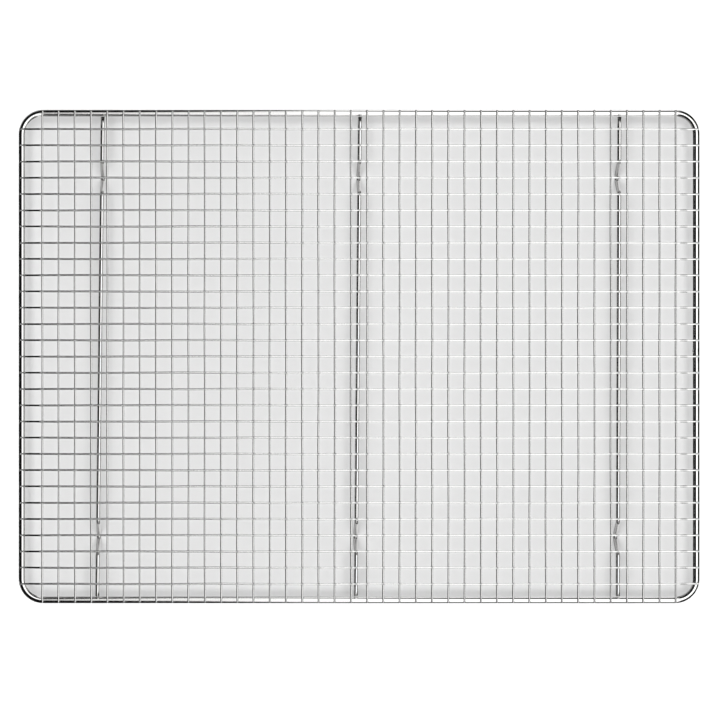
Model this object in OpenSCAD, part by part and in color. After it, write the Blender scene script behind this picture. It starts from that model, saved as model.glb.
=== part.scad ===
// Half-size cooling rack of welded round wire. A bent frame carries a square mat of thin
// wires, and three cross supports welded under the mat bend down into V-shaped feet.
// The origin is on the table under the middle of the rack. X runs along it and Z is up.

/* [Overall size] */
// Outside length of the frame, along X
rack_length = 419.5; // [360:0.5:425]
// Outside width of the frame, along Y
rack_width = 304; // [240:0.5:309]
// Height of the mat's top above the table
rack_height = 22; // [19:0.5:30]

/* [Wire gauges] */
// Diameter of the frame's wire
frame_d = 4; // [3:0.1:5]
// Diameter of the cross supports' wire
support_d = 2.6; // [2:0.1:3.2]
// Diameter of the mat's wires
mat_d = 1.2; // [1:0.1:1.6]

/* [Frame] */
// Outside radius of the frame's corners
corner_r = 15; // [10:0.5:25]
// Distance of the butt weld from the middle of its short side
weld_offset = 3; // [0:0.5:20]

/* [Mat] */
// Distance between neighbouring mat wires, both ways
mat_pitch = 10; // [10:0.5:12]
// Least distance from the frame wire's centre to the first mat wire
edge_gap = 8; // [8:0.5:12]
// Angle at which a long wire's end steps down to the frame
step_angle = 18; // [14:1:25]
// Bend radius of that step, at the wire's centre
step_bend_r = 6; // [3:0.5:8]

/* [Supports] */
// Distance between supports, counted in mat pitches
support_gaps = 16; // [8:1:18]
// Distance of a foot's middle from the frame wire's centre
foot_inset = 39; // [30:0.5:60]
// Slope of a foot's legs
foot_angle = 66; // [55:1:72]
// Bend radius of a foot, at the wire's centre
foot_bend_r = 2.8; // [2.4:0.1:3.5]
// Gap between a support's cut end and the frame
support_end_gap = 0.2; // [0.2:0.05:3]
// How far the feet sit off the middle, along Y
foot_shift = -0.6; // [-3:0.1:3]
// Lean of the feet away from upright, towards -X, in degrees
foot_lean = 1.6; // [0:0.1:3]

/* [Hidden] */
$fn = 48;

// How far a mat wire's cut end stays inside the frame's outer edge
end_trim = 0.2;
// How far each end of the frame runs on along the sides, past its corners
frame_tail = 5;
// Length of the butt weld, its height over the wire, and how deep its ends start in the wire
weld_length = 4;
weld_height = 0.25;
weld_root = 0.3;
// How far each support sits off its place between two short wires, and its turn away from
// their direction in degrees, as built
support_shifts = [0.5, -0.7, -0.1];
support_turns = [-0.65, -0.5, -0.2];
// From the last short wire's centre to where the long wires start to step down
step_start = 2;
// A bend is thicker than its wire by this swell, and each straight length of wire runs on
// into the bend by this lap, so that it ends inside
bend_swell = 0.02;
bend_lap = 0.1;

// Heights of the wires' centres: the mat's two layers, the supports under the long wires,
// and the frame under the short wires
long_z = rack_height - mat_d / 2;
short_z = long_z - mat_d;
support_z = rack_height - mat_d - (support_d + bend_swell) / 2;
frame_z = short_z - mat_d / 2 - (frame_d + bend_swell) / 2;

// The frame wire's centre line, and the centres of its corners' arcs
frame_x = rack_length / 2 - frame_d / 2;
frame_y = rack_width / 2 - frame_d / 2;
arc_x = rack_length / 2 - corner_r;
arc_y = rack_width / 2 - corner_r;

// An odd number of long wires puts one on the middle line. The short wires' number is
// even, so that the middle support has a gap between two of them.
long_count = 2 * floor((frame_y - edge_gap) / mat_pitch) + 1;
pair_count = floor((frame_x - edge_gap) / mat_pitch + 0.5);
short_count = 2 * pair_count;
last_short_x = (short_count - 1) / 2 * mat_pitch;

// A long wire's step: its sloping length, and where it ends
step_slope = (mat_d - 2 * step_bend_r * (1 - cos(step_angle))) / sin(step_angle);
step_x = last_short_x + step_start;
step_run = 2 * step_bend_r * sin(step_angle) + step_slope * cos(step_angle);

// A foot: how deep its wire's centre drops along the leaning foot, each leg's straight
// length and half the foot's width
foot_drop = (support_z - (support_d + bend_swell) / 2) / cos(foot_lean);
foot_leg = (foot_drop - 2 * foot_bend_r * (1 - cos(foot_angle))) / sin(foot_angle);
foot_half = 2 * foot_bend_r * sin(foot_angle) + foot_leg * cos(foot_angle);
foot_y = frame_y - foot_inset;
support_end_y = rack_width / 2 - frame_d - support_end_gap;

// Where a line along X or Y leaves the frame's outline, given its distance from the middle
function outer_x(y) =
    abs(y) <= arc_y ? rack_length / 2 : arc_x + sqrt(corner_r ^ 2 - (abs(y) - arc_y) ^ 2);
function outer_y(x) =
    abs(x) <= arc_x ? rack_width / 2 : arc_y + sqrt(corner_r ^ 2 - (abs(x) - arc_x) ^ 2);

// Place of the wire with this number, counted from 0, in a row about the middle
function wire_place(i, count) = (i - (count - 1) / 2) * mat_pitch;

// Node names, numbered from 1 along +X or +Y
function support_name(i) = str("support_", i + 1);
function long_name(i) = str("long_wire_", i + 1);
function pair_name(i) = str("short_wires_", 2 * i + 1, "_", 2 * i + 2);

// A straight wire along X, from one place to another
module straight_wire(d, from_x, to_x) {
    translate([from_x, 0, 0])
        rotate([0, 90, 0])
            cylinder(d = d, h = to_x - from_x);
}

// A bend about the origin. It starts below the origin, heads along +X and turns upwards.
module wire_bend(d, bend_r, angle) {
    rotate([90, 0, 0])
        rotate([0, 0, -90])
            rotate_extrude(angle = angle)
                translate([bend_r, 0])
                    circle(d = d + bend_swell);
}

// A wire bent in the XZ plane. Each step feeds a straight length along +X, then bends
// through an angle: up for a positive angle, down for a negative one. The last is 0.
module bent_wire(d, bend_r, steps, i = 0) {
    feed = steps[i][0];
    turn = steps[i][1];
    is_last = i == len(steps) - 1;
    flip = turn < 0 ? 1 : 0;
    straight_wire(d, i == 0 ? 0 : -bend_lap, is_last ? feed : feed + bend_lap);
    if (!is_last)
        translate([feed, 0, 0])
            mirror([0, 0, flip])
                translate([0, 0, bend_r]) {
                    wire_bend(d, bend_r, abs(turn));
                    rotate([0, -abs(turn), 0])
                        translate([0, 0, -bend_r])
                            mirror([0, 0, flip])
                                bent_wire(d, bend_r, steps, i + 1);
                }
}

// The swelling where the frame wire's two ends are welded together, ground flush outside
module butt_weld() {
    root_d = frame_d - 2 * weld_root;
    middle_d = frame_d + weld_height;
    for (side = [0, 1])
        mirror([0, side, 0])
            rotate([-90, 0, 0])
                cylinder(d1 = middle_d, d2 = root_d, h = weld_length / 2);
}

// The frame's end at +X with both its corners, as two bent wires that meet at this place
module frame_end(joint_y) {
    for (side = [0, 1])
        mirror([0, side, 0])
            translate([frame_x, side == 0 ? joint_y : -joint_y, frame_z])
                rotate([0, 0, 90])
                    rotate([-90, 0, 0])
                        bent_wire(frame_d, corner_r - frame_d / 2, [
                            [arc_y + (side == 0 ? -joint_y : joint_y), 90],
                            [frame_tail, 0]
                        ]);
}

module frame_left() {
    color("silver")
        rotate([0, 0, 180])
            frame_end(0);
}

module frame_right() {
    color("silver") {
        frame_end(weld_offset);
        translate([frame_x - weld_height / 2, weld_offset, frame_z])
            butt_weld();
    }
}

// A long side of the frame between its two ends, at this place along Y
module frame_side(y) {
    color("silver")
        translate([0, y, frame_z])
            straight_wire(frame_d, frame_tail - arc_x, arc_x - frame_tail);
}

// A cross support with its two feet
module support(i) {
    tail = support_end_y - foot_y - foot_half;
    color("gainsboro")
        translate([(i - 1) * support_gaps * mat_pitch + support_shifts[i], 0, support_z])
            rotate([0, 0, 90 + support_turns[i]])
                rotate([foot_lean, 0, 0])
                    translate([-support_end_y, 0, 0])
                        bent_wire(support_d, foot_bend_r, [
                            [tail + foot_shift, -foot_angle],
                            [foot_leg, 2 * foot_angle],
                            [foot_leg, -foot_angle],
                            [2 * (foot_y - foot_half), -foot_angle],
                            [foot_leg, 2 * foot_angle],
                            [foot_leg, -foot_angle],
                            [tail - foot_shift, 0]
                        ]);
}

// A long mat wire, whose ends step down past the last short wires to lie on the frame
module long_wire(i) {
    y = wire_place(i, long_count);
    end_x = outer_x(y) - end_trim;
    tail = end_x - step_x - step_run;
    color("gainsboro")
        translate([-end_x, y, short_z])
            bent_wire(mat_d, step_bend_r, [
                [tail, step_angle],
                [step_slope, -step_angle],
                [2 * step_x, -step_angle],
                [step_slope, step_angle],
                [tail, 0]
            ]);
}

module short_wire(i) {
    x = wire_place(i, short_count);
    end_y = outer_y(x) - end_trim;
    translate([x, 0, short_z])
        rotate([0, 0, 90])
            straight_wire(mat_d, -end_y, end_y);
}

// Two neighbouring short mat wires
module short_wire_pair(i) {
    color("lightgray")
        for (k = [0, 1])
            short_wire(2 * i + k);
}

frame_left();
frame_right();
frame_side(-frame_y);  // frame_front
frame_side(frame_y);  // frame_back
for (i = [0 : len(support_turns) - 1])
    support(i);
for (i = [0 : long_count - 1])
    long_wire(i);
for (i = [0 : pair_count - 1])
    short_wire_pair(i);
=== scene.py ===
"""The finished look of the wire cooling rack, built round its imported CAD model.

Every wire is swept again along the CAD wire's own line, with the weld fillets at its
crossings, sheared ends and the slight sway of drawn wire. Lengths are in metres.
"""

import math
import random
from collections import namedtuple

import bpy
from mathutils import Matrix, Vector


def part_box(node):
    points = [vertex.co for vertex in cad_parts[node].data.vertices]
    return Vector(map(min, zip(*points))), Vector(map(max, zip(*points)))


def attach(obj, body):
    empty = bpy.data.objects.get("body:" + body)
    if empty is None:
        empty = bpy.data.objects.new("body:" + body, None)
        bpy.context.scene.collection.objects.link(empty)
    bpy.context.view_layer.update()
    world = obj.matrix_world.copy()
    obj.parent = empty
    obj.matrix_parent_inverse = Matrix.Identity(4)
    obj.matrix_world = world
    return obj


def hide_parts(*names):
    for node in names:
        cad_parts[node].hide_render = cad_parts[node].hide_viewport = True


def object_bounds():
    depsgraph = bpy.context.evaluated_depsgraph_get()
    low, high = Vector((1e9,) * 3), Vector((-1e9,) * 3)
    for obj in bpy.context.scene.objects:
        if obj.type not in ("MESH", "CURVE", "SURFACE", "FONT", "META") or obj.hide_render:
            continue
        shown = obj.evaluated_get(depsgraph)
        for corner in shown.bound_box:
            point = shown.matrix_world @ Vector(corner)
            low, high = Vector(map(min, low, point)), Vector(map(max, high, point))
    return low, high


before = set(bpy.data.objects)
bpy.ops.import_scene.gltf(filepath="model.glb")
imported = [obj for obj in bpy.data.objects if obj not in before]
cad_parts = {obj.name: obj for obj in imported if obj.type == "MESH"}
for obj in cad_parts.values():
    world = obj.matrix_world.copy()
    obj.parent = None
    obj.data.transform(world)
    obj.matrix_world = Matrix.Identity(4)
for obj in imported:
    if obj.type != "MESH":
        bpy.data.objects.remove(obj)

cad_low, cad_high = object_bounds()

MM = 0.001
UP = Vector((0, 0, 1))
DOWN = -UP

# The rack's wires and bends, as its CAD model has them. Radii are at the wire's centre.
FRAME_WIRE = 4.0 * MM
SUPPORT_WIRE = 2.6 * MM
CORNER_RADIUS = 13.0 * MM
BUTT_WELD_Y = 3.0 * MM
FOOT_INSET = 39.0 * MM
FOOT_ANGLE = math.radians(66)
FOOT_BEND = 2.8 * MM
FOOT_SHIFT = -0.6 * MM
FOOT_LEAN = math.radians(1.6)
SUPPORT_GAPS = 16
SUPPORT_SHIFTS = (0.5 * MM, -0.7 * MM, -0.1 * MM)
SUPPORT_TURNS = (math.radians(-0.65), math.radians(-0.5), math.radians(-0.2))
STEP_START = 2.0 * MM
STEP_RUN = 5.6 * MM

# The fillet that a weld leaves on a wire: how far it stands out, how fast it fades along
# the wire, how much it widens the wire sideways, and where rings shape it
FILLET_DEPTH = 0.28 * MM
FILLET_REACH = 0.8 * MM
FILLET_WIDENING = 0.5
FILLET_RINGS = tuple(place * MM for place in (-1.6, -1.0, -0.5, 0.0, 0.5, 1.0, 1.6))
# A weld belongs to the wire whose line runs this near to it, and its rings keep this
# clear of a bend or an end
WELD_OFF_LINE = 3 * MM
RING_CLEARANCE = 0.2 * MM

# A wire's sheared end, as shares of its diameter: how much the cut slants, how long its
# rounded edge is, and how wide the flat face is that the edge leaves
SHEAR_SLANT = 0.12
EDGE_ROUNDING = 0.07
CUT_FACE = 0.84

# The mat wires' sway: its size, and the lengths of its long waves and of its short ones,
# which are smaller
MAT_SWAY = 0.10 * MM
LONG_WAVES = (0.10, 0.24)
SHORT_WAVES = (0.04, 0.08)
SHORT_WAVE_SHARE = 0.35

# How finely the wires are drawn: sides round them, and rings along bends and the butt weld
MAT_SIDES = 12
FRAME_SIDES = 24
SUPPORT_SIDES = 20
CORNER_RINGS = 18
FOOT_RINGS = 12
STEP_RINGS = 8
BUTT_WELD_RINGS = 20
BUTT_WELD_RING_GAP = 0.4 * MM

# The camera's height over the mat, which also sets what each part of it mirrors
CAMERA_HEIGHT = 2.6

# How much light the paper throws back in the open, and the darker colour painted onto it under
# the rack as its shade
OPEN_PAPER = 0.95
PAINTED_SHADE_PAPER = 0.64

# The surroundings that the wires mirror. An angle lies round the rack's long axis, in
# degrees: 0 is overhead, 90 towards +Y. A place is where along X a long wire mirrors a
# direction to the camera, in metres. A share is the part of a direction that lies along
# the named way. Of each pair, nothing shows at the first value and all at the second.

# The soft panel. Its half width grows from the start angle, which is still nothing, by the
# end angle at its left end and by the spread angle from there to the middle.
PANEL_START_ANGLE = -8.0
PANEL_END_ANGLE = 18.0
PANEL_END_PLACES = (-0.24, -0.20)
PANEL_SPREAD_ANGLE = 125.0
PANEL_SPREAD_PLACES = (-0.215, -0.01)
PANEL_EDGE_ANGLES = (-4.0, 4.0)
PANEL_EAST_SHARES = (0.86, 0.76)
PANEL_LIGHT = 0.95
# The panel's core, which is brighter
CORE_EXTRA = 0.6
CORE_FRONT_ANGLES = (-66.0, -50.0)
CORE_BACK_ANGLES = (50.0, 42.0)
CORE_PLACES = (-0.10, 0.05)
# The panel's black parts: a gap towards +Y, and both sides low in the east
GAP_NEAR_ANGLES = (28.0, 36.0)
GAP_FAR_ANGLES = (76.0, 68.0)
GAP_PLACES = (-0.06, 0.06)
BLACK_BACK_ANGLES = (28.0, 36.0)
BLACK_FRONT_ANGLES = (-40.0, -50.0)
BLACK_EAST_SHARES = (0.12, 0.32)
# The table's glow on the right half, towards the front and back, and along the diagonals
TABLE_GLOW = 0.7
TABLE_UP_SHARES = (-0.05, -0.4)
TABLE_EAST_SHARES = (-0.05, 0.05)
SIDE_GLOW = 0.3
SIDE_UP_SHARES = (-0.25, -0.6)
SIDE_NORTH_SHARES = (0.35, 0.6)
DIAGONAL_GLOW = 0.4
DIAGONAL_UP_SHARES = (-0.1, -0.4)
DIAGONAL_NORTH_SHARES = (0.10, 0.20)
DIAGONAL_EAST_SHARES = (0.12, 0.24)
# The light of the dark room around all this, and the even light on the paper
DARK_ROOM = 0.008
PAPER_FILL = 0.25

# A place along a wire: its centre, the way the wire heads, how strongly a weld shapes it,
# and which way the weld lies
Station = namedtuple("Station", "centre heading weld weld_side")
# A ring of a wire's mesh: its station, its share of the wire's radius, its shift along the
# wire, how far it slants, and the angle round the wire at which it slants most
Ring = namedtuple("Ring", "station scale shift slant tilt")
# Where a wire is welded to another one, and which way the other one lies
Weld = namedtuple("Weld", "centre side")


def camera():
    """Looks straight down on the mat from high above. The rack fills most of the
    picture's width and sits a little to the right of its middle."""
    rack_share = 0.9562
    rack_right = 1.6 * MM
    data = bpy.data.cameras.new("camera")
    data.sensor_width = 36.0
    seen_width = (cad_high.x - cad_low.x) / rack_share
    data.lens = data.sensor_width * CAMERA_HEIGHT / seen_width
    data.clip_end = 20.0
    seat = bpy.data.objects.new("camera", data)
    seat.location = (-rack_right, 0.0, cad_high.z + CAMERA_HEIGHT)
    bpy.context.collection.objects.link(seat)
    bpy.context.scene.camera = seat


# ---------------------------------------------------------------- wires


def bent_line(start, heading, plane, bend, steps, rings):
    """Stations along a wire bent in one plane, whose normal is given. Each step is a
    straight length and then a turn in radians, anticlockwise about the normal."""
    stations = [Station(start, heading, 0.0, UP)]
    at, way = start.copy(), heading.copy()
    for feed, turn in steps:
        at = at + way * feed
        stations.append(Station(at, way, 0.0, UP))
        if turn:
            inward = plane.cross(way) * math.copysign(1, turn)
            centre = at + inward * bend
            first = -inward
            for k in range(1, rings + 1):
                angle = abs(turn) * k / rings
                spoke = first * math.cos(angle) + way * math.sin(angle)
                turned = way * math.cos(angle) + inward * math.sin(angle)
                stations.append(Station(centre + spoke * bend, turned, 0.0, UP))
            at, way = stations[-1].centre, stations[-1].heading
    return stations


def with_welds(stations, welds):
    """Adds the rings that shape a weld's fillet wherever the wire runs straight past one.
    Rings within a micrometre of each other count as one."""
    digits = 6
    reach = FILLET_RINGS[-1]
    result = []
    for first, second in zip(stations, stations[1:]):
        result.append(first)
        span = second.centre - first.centre
        length = span.length
        if length < reach:
            continue
        way = span / length
        extra = {}
        for weld in welds:
            along = (weld.centre - first.centre).dot(way)
            off_line = (weld.centre - first.centre - way * along).length
            if off_line > WELD_OFF_LINE or not -reach < along < length + reach:
                continue
            for offset in FILLET_RINGS:
                place = along + offset
                if RING_CLEARANCE < place < length - RING_CLEARANCE:
                    strength = math.exp(-((offset / FILLET_REACH) ** 2))
                    extra[round(place, digits)] = (strength, weld.side)
        for place in sorted(extra):
            strength, side = extra[place]
            result.append(Station(first.centre + way * place, way, strength, side))
    result.append(stations[-1])
    return result


def swayed(stations, across, amount, seed):
    """The same line with the slight sideways waves of wire that came off a coil."""
    draw = random.Random(seed)
    waves = [(draw.uniform(*LONG_WAVES), draw.uniform(0, math.tau), 1.0),
             (draw.uniform(*SHORT_WAVES), draw.uniform(0, math.tau), SHORT_WAVE_SHARE)]
    start = stations[0].centre
    result = []
    for station in stations:
        along = (station.centre - start).length
        shift = sum(size * math.sin(math.tau * along / length + phase)
                    for length, phase, size in waves)
        result.append(station._replace(centre=station.centre + across * shift * amount))
    return result


def open_rings(stations, diameter, seed):
    """Rings along an open wire. Its ends are sheared: cut a little aslant, with a second
    ring that rounds the cut's edge off."""
    draw = random.Random(seed)
    start, end = stations[0], stations[-1]
    slant = SHEAR_SLANT * diameter
    rounding = EDGE_ROUNDING * diameter
    start_tilt = draw.uniform(0, math.tau)
    end_tilt = draw.uniform(0, math.tau)
    rings = [Ring(start, CUT_FACE, 0.0, slant, start_tilt)]
    rings.append(Ring(start, 1.0, rounding, slant, start_tilt))
    rings += [Ring(station, 1.0, 0.0, 0.0, 0.0) for station in stations[1:-1]]
    rings.append(Ring(end, 1.0, -rounding, -slant, end_tilt))
    rings.append(Ring(end, CUT_FACE, 0.0, -slant, end_tilt))
    return rings


def filleted(point, station, spoke):
    """A point on a wire's skin, moved out onto the fillet of the weld at its station."""
    toward = spoke.dot(station.weld_side)
    facing = max(0.0, toward)
    sideways = spoke - station.weld_side * toward
    point = point + station.weld_side * (FILLET_DEPTH * station.weld * facing ** 2)
    return point + sideways * (FILLET_DEPTH * FILLET_WIDENING * station.weld * facing)


def sweep(mesh_parts, stations, across, diameter, sides, seed=0, closed=False, lump=None):
    """Adds a round wire along the stations to mesh_parts. across is square to every
    heading. A lump gives each point's extra height from its centre and its spoke."""
    verts, faces, heat = mesh_parts
    radius = diameter / 2
    base = len(verts)
    if closed:
        rings = [Ring(station, 1.0, 0.0, 0.0, 0.0) for station in stations]
    else:
        rings = open_rings(stations, diameter, seed)
    for station, scale, shift, slant, tilt in rings:
        lift = station.heading.cross(across)
        for k in range(sides):
            angle = math.tau * k / sides
            spoke = across * math.cos(angle) + lift * math.sin(angle)
            grown = radius * scale
            if lump:
                grown += lump(station.centre, spoke)
            point = station.centre + spoke * grown + station.heading * shift
            if station.weld:
                point = filleted(point, station, spoke)
            if slant:
                point += station.heading * ((1 + math.cos(angle - tilt)) / 2 * slant)
            verts.append(point)
            heat.append(station.weld)
    count = len(rings)
    for ring in range(count if closed else count - 1):
        here, there = base + ring * sides, base + (ring + 1) % count * sides
        for k in range(sides):
            after = (k + 1) % sides
            faces.append((here + k, here + after, there + after, there + k))
    if not closed:
        faces.append(tuple(base + k for k in reversed(range(sides))))
        faces.append(tuple(base + (count - 1) * sides + k for k in range(sides)))


def wire_piece(name, nodes, mesh_parts, material):
    """Makes the piece that stands for these CAD nodes, from the swept wires. Edges that
    turn by more than the sharp angle are left hard."""
    sharp_angle = math.radians(50)
    verts, faces, heat = mesh_parts
    mesh = bpy.data.meshes.new(f"steel_{name}")
    mesh.from_pydata(verts, [], faces)
    mesh.validate()
    attribute = mesh.attributes.new("weld_heat", "FLOAT", "POINT")
    attribute.data.foreach_set("value", heat)
    mesh.polygons.foreach_set("use_smooth", [True] * len(mesh.polygons))
    mesh.set_sharp_from_angle(angle=sharp_angle)
    mesh.materials.append(material)
    piece = bpy.data.objects.new(f"steel_{name}", mesh)
    bpy.context.collection.objects.link(piece)
    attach(piece, "root")
    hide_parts(*nodes)


def nodes_named(start):
    """The CAD nodes whose names start so, in their numbers' order."""
    names = [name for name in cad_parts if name.startswith(start)]
    return sorted(names, key=lambda name: int(name[len(start):].split("_")[0]))


def middle(node):
    low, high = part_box(node)
    return (Vector(low) + Vector(high)) / 2


FRAME_NODES = [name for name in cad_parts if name.startswith("frame_")]
LONG_NODES = nodes_named("long_wire_")
PAIR_NODES = nodes_named("short_wires_")
SUPPORT_NODES = nodes_named("support_")
frame_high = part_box("frame_right")[1]
pair_low, pair_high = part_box(PAIR_NODES[0])
MAT_WIRE = pair_high[2] - pair_low[2]
MAT_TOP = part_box(LONG_NODES[0])[1][2]
LONG_Z = MAT_TOP - MAT_WIRE / 2
SHORT_Z = (pair_low[2] + pair_high[2]) / 2
FRAME_Z = pair_low[2] - FRAME_WIRE / 2
SUPPORT_Z = SHORT_Z + MAT_WIRE / 2 - SUPPORT_WIRE / 2
FRAME_X = frame_high[0] - FRAME_WIRE / 2
FRAME_Y = frame_high[1] - FRAME_WIRE / 2
LONG_YS = [middle(node).y for node in LONG_NODES]


def short_xs(node):
    """The places along X of the two short wires in this CAD node."""
    low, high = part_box(node)
    return low[0] + MAT_WIRE / 2, high[0] - MAT_WIRE / 2


SHORT_XS = [x for node in PAIR_NODES for x in short_xs(node)]


def support_x(number, y):
    """Where the centre line of the support with this number, from 0, is at this y."""
    pitch = (SHORT_XS[-1] - SHORT_XS[0]) / (len(SHORT_XS) - 1)
    place = (number - 1) * SUPPORT_GAPS * pitch + SUPPORT_SHIFTS[number]
    return place - math.tan(SUPPORT_TURNS[number]) * y


def frame_reach(offset, half_side, half_other):
    """Distance from the middle to the frame wire's centre, along a line that lies offset
    to one side of it."""
    arc = half_other - CORNER_RADIUS
    if abs(offset) <= arc:
        return half_side
    return half_side - CORNER_RADIUS + math.sqrt(CORNER_RADIUS ** 2 - (abs(offset) - arc) ** 2)


def hump(away, place, width):
    """1 at this place, fading to nothing some widths away from it."""
    return math.exp(-((away - place) / width) ** 2)


def butt_weld_lump(centre, spoke):
    """The uneven swelling on both sides of the frame's butt weld, flush on the outside: a
    ridge beside the joint, a drop of spatter on top and the waves of a burn. Lengths here
    are in millimetres."""
    reach = 8
    ridge_height, ridge_place, ridge_width = 0.22, 0.4, 0.9
    drop_height, drop_place, drop_width = 0.16, -5.2, 1.1
    burn_height, burn_width = 0.05, 5
    waves_along, waves_round = 2.3, 4
    if centre.x < 0 or abs(centre.y - BUTT_WELD_Y) > reach * MM:
        return 0.0
    away = (centre.y - BUTT_WELD_Y) / MM
    ridge = ridge_height * hump(away, ridge_place, ridge_width)
    on_top = 0.5 + 0.5 * spoke.z
    drop = drop_height * hump(away, drop_place, drop_width) * on_top
    wave = math.sin(waves_along * away + waves_round * spoke.z)
    burn = burn_height * wave * hump(away, 0, burn_width)
    return (ridge + drop + burn) * MM * min(1.0, 1.0 - spoke.x)


def build_frame(material):
    side, end = FRAME_Y - CORNER_RADIUS, FRAME_X - CORNER_RADIUS
    quarter = math.pi / 2
    start = Vector((FRAME_X, BUTT_WELD_Y, FRAME_Z))
    way = Vector((0, 1, 0))
    steps = [(side - BUTT_WELD_Y, quarter), (2 * end, quarter), (2 * side, quarter),
             (2 * end, quarter), (side + BUTT_WELD_Y, 0)]
    line = bent_line(start, way, UP, CORNER_RADIUS, steps, CORNER_RINGS)[:-1]
    near = [BUTT_WELD_RING_GAP * k for k in range(1, BUTT_WELD_RINGS + 1)]
    after = [Station(start + way * s, way, 0.0, UP) for s in near]
    before = [Station(start - way * s, way, 0.0, UP) for s in reversed(near)]
    parts = ([], [], [])
    sweep(parts, line[:1] + after + line[1:] + before, UP, FRAME_WIRE, FRAME_SIDES,
          closed=True, lump=butt_weld_lump)
    wire_piece("frame", FRAME_NODES, parts, material)


def build_support(number, node, material):
    turn = SUPPORT_TURNS[number]
    low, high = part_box(node)
    half = (high[1] - low[1]) / 2 / math.cos(turn)
    way = Vector((-math.sin(turn), math.cos(turn), 0))
    level = Vector((math.cos(turn), math.sin(turn), 0))
    across = level * math.cos(FOOT_LEAN) - UP * math.sin(FOOT_LEAN)
    start = Vector((support_x(number, 0), 0, SUPPORT_Z)) - way * half
    drop = (SUPPORT_Z - SUPPORT_WIRE / 2) / math.cos(FOOT_LEAN)
    leg = (drop - 2 * FOOT_BEND * (1 - math.cos(FOOT_ANGLE))) / math.sin(FOOT_ANGLE)
    foot_half = 2 * FOOT_BEND * math.sin(FOOT_ANGLE) + leg * math.cos(FOOT_ANGLE)
    foot_y = FRAME_Y - FOOT_INSET
    foot = [(leg, 2 * FOOT_ANGLE), (leg, -FOOT_ANGLE)]
    tail = half - foot_y - foot_half
    steps = ([(tail + FOOT_SHIFT, -FOOT_ANGLE)] + foot
             + [(2 * (foot_y - foot_half), -FOOT_ANGLE)] + foot + [(tail - FOOT_SHIFT, 0)])
    line = bent_line(start, way, across, FOOT_BEND, steps, FOOT_RINGS)
    welds = [Weld(Vector((support_x(number, y), y, SUPPORT_Z)), UP) for y in LONG_YS]
    parts = ([], [], [])
    sweep(parts, with_welds(line, welds), across, SUPPORT_WIRE, SUPPORT_SIDES, seed=node)
    wire_piece(node, [node], parts, material)


def long_height(x):
    """Height of a long wire's centre: level over the mat, then a step down to the frame."""
    share = (abs(x) - SHORT_XS[-1] - STEP_START) / STEP_RUN
    share = min(1.0, max(0.0, share))
    return LONG_Z - MAT_WIRE * share * share * (3 - 2 * share)


def long_station(x, y):
    """The station of the long wire with this y, where it passes this x."""
    nudge = 0.01 * MM
    slope = (long_height(x + nudge) - long_height(x - nudge)) / (2 * nudge)
    return Station(Vector((x, y, long_height(x))), Vector((1, 0, slope)).normalized(), 0.0, UP)


def build_long_wire(node, y, material):
    low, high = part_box(node)
    step = SHORT_XS[-1] + STEP_START
    bends = [step + STEP_RUN * k / STEP_RINGS for k in range(STEP_RINGS + 1)]
    xs = [low[0]] + [-x for x in reversed(bends)] + bends + [high[0]]
    line = [long_station(x, y) for x in xs]
    reach = frame_reach(y, FRAME_X, FRAME_Y)
    welds = [Weld(Vector((x, y, LONG_Z)), DOWN) for x in SHORT_XS]
    welds += [Weld(Vector((support_x(number, y), y, LONG_Z)), DOWN)
              for number in range(len(SUPPORT_NODES))]
    welds += [Weld(Vector((x, y, SHORT_Z)), DOWN) for x in (-reach, reach)]
    across = Vector((0, 1, 0))
    line = swayed(with_welds(line, welds), across, MAT_SWAY, node)
    parts = ([], [], [])
    sweep(parts, line, across, MAT_WIRE, MAT_SIDES, seed=node)
    wire_piece(node, [node], parts, material)


def build_short_pair(node, material):
    low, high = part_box(node)
    way, across = Vector((0, 1, 0)), Vector((1, 0, 0))
    parts = ([], [], [])
    for x in short_xs(node):
        line = [Station(Vector((x, y, SHORT_Z)), way, 0.0, UP) for y in (low[1], high[1])]
        reach = frame_reach(x, FRAME_Y, FRAME_X)
        welds = [Weld(Vector((x, y, SHORT_Z)), UP) for y in LONG_YS]
        welds += [Weld(Vector((x, y, SHORT_Z)), DOWN) for y in (-reach, reach)]
        seed = f"{node} {x:.4f}"
        line = swayed(with_welds(line, welds), across, MAT_SWAY, seed)
        sweep(parts, line, across, MAT_WIRE, MAT_SIDES, seed=seed)
    wire_piece(node, [node], parts, material)


# ------------------------------------------------------------ materials


class Field:
    """A number that varies from place to place or with direction: a socket in the node
    tree that was last set as Field.tree."""

    tree = None

    def __init__(self, socket):
        self.socket = socket

    @classmethod
    def math(cls, operation, *values):
        node = cls.tree.nodes.new("ShaderNodeMath")
        node.operation = operation
        for slot, value in zip(node.inputs, values):
            if isinstance(value, Field):
                cls.tree.links.new(value.socket, slot)
            else:
                slot.default_value = value
        return cls(node.outputs[0])

    def __add__(self, other):
        return Field.math("ADD", self, other)

    def __sub__(self, other):
        return Field.math("SUBTRACT", self, other)

    def __mul__(self, other):
        return Field.math("MULTIPLY", self, other)

    def rise(self, low, high):
        """0 below low, 1 above high and straight in between."""
        return self.ramp(low, high, "LINEAR")

    def ramp(self, low, high, shape="SMOOTHSTEP"):
        """0 below low, 1 above high and smooth in between; falls if low is over high."""
        node = Field.tree.nodes.new("ShaderNodeMapRange")
        node.interpolation_type = shape
        Field.tree.links.new(self.socket, node.inputs["Value"])
        node.inputs["From Min"].default_value = min(low, high)
        node.inputs["From Max"].default_value = max(low, high)
        node.inputs["To Min"].default_value = 0.0 if low < high else 1.0
        node.inputs["To Max"].default_value = 1.0 if low < high else 0.0
        return Field(node.outputs["Result"])


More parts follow.
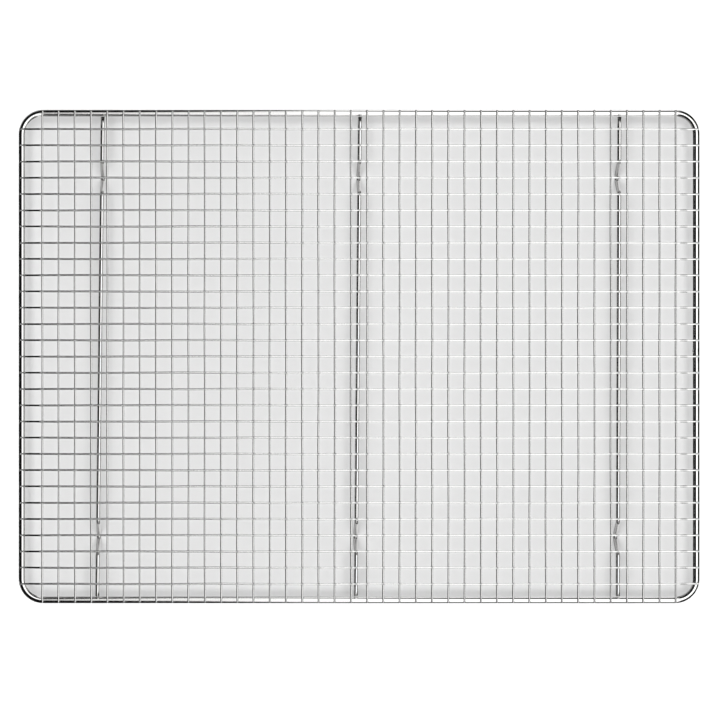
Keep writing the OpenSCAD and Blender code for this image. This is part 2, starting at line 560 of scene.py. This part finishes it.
def noise(place, scale, detail):
    """Soft clouds in the object's own space, from the node that gives its coordinates."""
    tree = Field.tree
    clouds = tree.nodes.new("ShaderNodeTexNoise")
    clouds.inputs["Scale"].default_value = scale
    clouds.inputs["Detail"].default_value = detail
    tree.links.new(place.outputs["Object"], clouds.inputs["Vector"])
    return clouds.outputs["Fac"]


def steel(name, colour, roughness, grain):
    """Bright plated steel wire: a fine grain in its polish, small clouds in the plating,
    and a duller, darker bloom where a weld's heat was."""
    cloud_shade, bloom_shade, bloom_strength = 0.93, 0.72, 0.6
    grain_contrast, weld_dulling = 0.25, 0.15
    material = bpy.data.materials.new(name)
    material.use_nodes = True
    tree = Field.tree = material.node_tree
    nodes, links = tree.nodes, tree.links
    shader = nodes["Principled BSDF"]
    shader.inputs["Metallic"].default_value = 1.0

    place = nodes.new("ShaderNodeTexCoord")
    clouds = noise(place, scale=90.0, detail=4.0)
    scratches = noise(place, scale=grain, detail=3.0)
    attribute = nodes.new("ShaderNodeAttribute")
    attribute.attribute_name = "weld_heat"
    weld = Field(attribute.outputs["Fac"])

    plating = nodes.new("ShaderNodeMix")
    plating.data_type = "RGBA"
    plating.inputs["A"].default_value = (*(cloud_shade * c for c in colour), 1)
    plating.inputs["B"].default_value = (*colour, 1)
    links.new(clouds, plating.inputs["Factor"])

    bloom = nodes.new("ShaderNodeMix")
    bloom.data_type = "RGBA"
    bloom.inputs["B"].default_value = (*(bloom_shade * c for c in colour), 1)
    links.new((weld * bloom_strength).socket, bloom.inputs["Factor"])
    links.new(plating.outputs["Result"], bloom.inputs["A"])
    links.new(bloom.outputs["Result"], shader.inputs["Base Color"])

    rough = nodes.new("ShaderNodeMapRange")
    rough.inputs["From Min"].default_value = 0.3
    rough.inputs["From Max"].default_value = 0.7
    rough.inputs["To Min"].default_value = roughness * (1 - grain_contrast)
    rough.inputs["To Max"].default_value = roughness * (1 + grain_contrast)
    links.new(scratches, rough.inputs["Value"])
    dulled = Field.math("MULTIPLY_ADD", weld, weld_dulling, Field(rough.outputs["Result"]))
    links.new(dulled.socket, shader.inputs["Roughness"])

    bump = nodes.new("ShaderNodeBump")
    bump.inputs["Strength"].default_value = 0.03
    bump.inputs["Distance"].default_value = 0.05 * MM
    links.new(scratches, bump.inputs["Height"])
    links.new(bump.outputs["Normal"], shader.inputs["Normal"])
    return material


# ---------------------------------------------------------------- stage


def matt(name):
    """A new material without gloss, and its shader."""
    material = bpy.data.materials.new(name)
    material.use_nodes = True
    shader = material.node_tree.nodes["Principled BSDF"]
    shader.inputs["Specular IOR Level"].default_value = 0.0
    return material, shader


def flat_sheet(name, low, high, material):
    """A sheet on the table between two corners of its rectangle."""
    near_side = [(low[0], low[1], 0), (high[0], low[1], 0)]
    far_side = [(high[0], high[1], 0), (low[0], high[1], 0)]
    mesh = bpy.data.meshes.new(name)
    mesh.from_pydata(near_side + far_side, [], [(0, 1, 2, 3)])
    mesh.materials.append(material)
    made = bpy.data.objects.new(name, mesh)
    bpy.context.collection.objects.link(made)
    return made


def floor():
    """White paper with painted shade: its colour is a little darker inside the frame's
    outline, as the shade under the rack.
    """
    half = 0.9
    painted_shade_ends, open_starts = CORNER_RADIUS - 0.5 * MM, CORNER_RADIUS + 2.5 * MM
    paper, shader = matt("paper")
    shader.inputs["Roughness"].default_value = 0.9
    tree = Field.tree = paper.node_tree
    place = tree.nodes.new("ShaderNodeTexCoord")
    parts = tree.nodes.new("ShaderNodeSeparateXYZ")
    tree.links.new(place.outputs["Object"], parts.inputs[0])
    past = []
    for axis, straight in ((0, FRAME_X - CORNER_RADIUS), (1, FRAME_Y - CORNER_RADIUS)):
        off = Field.math("ABSOLUTE", Field(parts.outputs[axis])) - straight
        past.append(Field.math("MAXIMUM", off, 0.0))
    from_arc = Field.math("SQRT", past[0] * past[0] + past[1] * past[1])
    # Painted shade: the paper's colour is darker inside the frame's outline, where the rack's
    # shade falls, and fades to the open colour just past the frame wire's outer edge.
    outside_painted_shade = from_arc.ramp(painted_shade_ends, open_starts)
    paper_tone_with_painted_shade = outside_painted_shade * (OPEN_PAPER - PAINTED_SHADE_PAPER) + PAINTED_SHADE_PAPER
    tree.links.new(paper_tone_with_painted_shade.socket, shader.inputs["Base Color"])
    sheet = flat_sheet("floor", (-half, -half), (half, half), paper)
    sheet.visible_glossy = False


def soft_panel(along, east):
    """A big soft panel that fills the sky to the right and points at the left: its edges
    close in on the zenith's line towards -X, so long wires mirror it whole on the right,
    and only as a thin line at the far left. Also gives its light, brighter in its core."""
    off_axis = Field.math("ABSOLUTE", along)
    mirrored_from = east * CAMERA_HEIGHT
    spread = mirrored_from.rise(*PANEL_SPREAD_PLACES)
    left_end = mirrored_from.rise(*PANEL_END_PLACES) * PANEL_END_ANGLE
    half_width = left_end + spread * spread * PANEL_SPREAD_ANGLE + PANEL_START_ANGLE
    panel = (half_width - off_axis).ramp(*PANEL_EDGE_ANGLES) * east.ramp(*PANEL_EAST_SHARES)
    core = along.ramp(*CORE_FRONT_ANGLES) * along.ramp(*CORE_BACK_ANGLES)
    light = core * mirrored_from.ramp(*CORE_PLACES) * CORE_EXTRA + PANEL_LIGHT
    return panel, light


def black_parts(along, east):
    """Where the panel is cut away: a gap towards +Y, and both sides low in the east, which
    draw the dark lines in the frame's right corners."""
    gap = along.ramp(*GAP_NEAR_ANGLES) * along.ramp(*GAP_FAR_ANGLES)
    gap = gap * (east * CAMERA_HEIGHT).ramp(*GAP_PLACES)
    sides = along.ramp(*BLACK_BACK_ANGLES) + along.ramp(*BLACK_FRONT_ANGLES)
    return Field.math("MAXIMUM", gap, east.ramp(*BLACK_EAST_SHARES) * sides)


def glow_below(east, north, up):
    """The table's weak light from below: on the right half, towards the front and back,
    where the feet's legs mirror it, and along the diagonals, where the corners do."""
    across = Field.math("ABSOLUTE", north)
    sideways = Field.math("ABSOLUTE", east)
    table = up.ramp(*TABLE_UP_SHARES) * east.ramp(*TABLE_EAST_SHARES) * TABLE_GLOW
    side = up.ramp(*SIDE_UP_SHARES) * across.ramp(*SIDE_NORTH_SHARES) * SIDE_GLOW
    diagonal = up.ramp(*DIAGONAL_UP_SHARES) * across.ramp(*DIAGONAL_NORTH_SHARES)
    diagonal = diagonal * sideways.ramp(*DIAGONAL_EAST_SHARES) * DIAGONAL_GLOW
    return Field.math("MAXIMUM", Field.math("MAXIMUM", table, side), diagonal)


def studio():
    """The surroundings. The wires mirror the soft panel, its black parts, the glow from
    below and a nearly black room to the left. The camera sees plain white behind
    everything, and the paper gets a weak even light."""
    world = bpy.data.worlds.new("studio")
    world.use_nodes = True
    tree = Field.tree = world.node_tree
    background = tree.nodes["Background"]
    direction = tree.nodes.new("ShaderNodeTexCoord")
    parts = tree.nodes.new("ShaderNodeSeparateXYZ")
    tree.links.new(direction.outputs["Generated"], parts.inputs[0])
    east, north, up = (Field(parts.outputs[k]) for k in range(3))
    along = Field.math("ARCTAN2", north, up) * math.degrees(1)
    panel, panel_light = soft_panel(along, east)
    seen = black_parts(along, east) * -1.0 + 1.0
    below = glow_below(east, north, up)
    mirrored = panel * panel_light * seen + below * (panel * -1.0 + 1.0) + DARK_ROOM
    path = tree.nodes.new("ShaderNodeLightPath")
    to_camera = Field(path.outputs["Is Camera Ray"])
    to_wires = Field(path.outputs["Is Glossy Ray"])
    light = mirrored * to_wires + to_camera + (to_wires + to_camera) * -PAPER_FILL + PAPER_FILL
    tree.links.new(light.socket, background.inputs["Strength"])
    background.inputs["Color"].default_value = (1, 1, 1, 1)
    bpy.context.scene.world = world


def black_card(name, low, high):
    """A black card on the table beside the rack. Only mirroring rays see it, so it draws
    the dark line along the rack's outer edge."""
    black, shader = matt(name)
    shader.inputs["Base Color"].default_value = (0.01, 0.01, 0.01, 1)
    card = flat_sheet(name, low, high, black)
    card.visible_camera = False
    card.visible_diffuse = False
    card.visible_shadow = False


def cards():
    reach = 1.5
    right, front = cad_high.x, cad_low.y
    black_card("right_card", (right, -reach), (reach, reach))
    black_card("front_card", (-reach, -reach), (right, front))


def lamp():
    """A wide square lamp overhead. It lights the paper but isn't mirrored in the wires."""
    data = bpy.data.lights.new("overhead", "AREA")
    data.shape = "SQUARE"
    data.size = 1.6
    data.energy = 64
    overhead = bpy.data.objects.new("overhead", data)
    overhead.location = (0, 0, 2.0)
    overhead.visible_camera = False
    overhead.visible_glossy = False
    bpy.context.collection.objects.link(overhead)


camera()
plated_frame = steel(
    "plated_frame_wire", colour=(0.91, 0.905, 0.895), roughness=0.07, grain=900.0)
plated_support = steel(
    "plated_support_wire", colour=(0.90, 0.895, 0.885), roughness=0.08, grain=900.0)
plated_mat = steel(
    "plated_mat_wire", colour=(0.92, 0.92, 0.91), roughness=0.09, grain=1400.0)
build_frame(plated_frame)
for support_number, support in enumerate(SUPPORT_NODES):
    build_support(support_number, support, plated_support)
for long_wire, wire_y in zip(LONG_NODES, LONG_YS):
    build_long_wire(long_wire, wire_y, plated_mat)
for pair in PAIR_NODES:
    build_short_pair(pair, plated_mat)
floor()
studio()
cards()
lamp()
bpy.context.scene.view_settings.view_transform = "Standard"
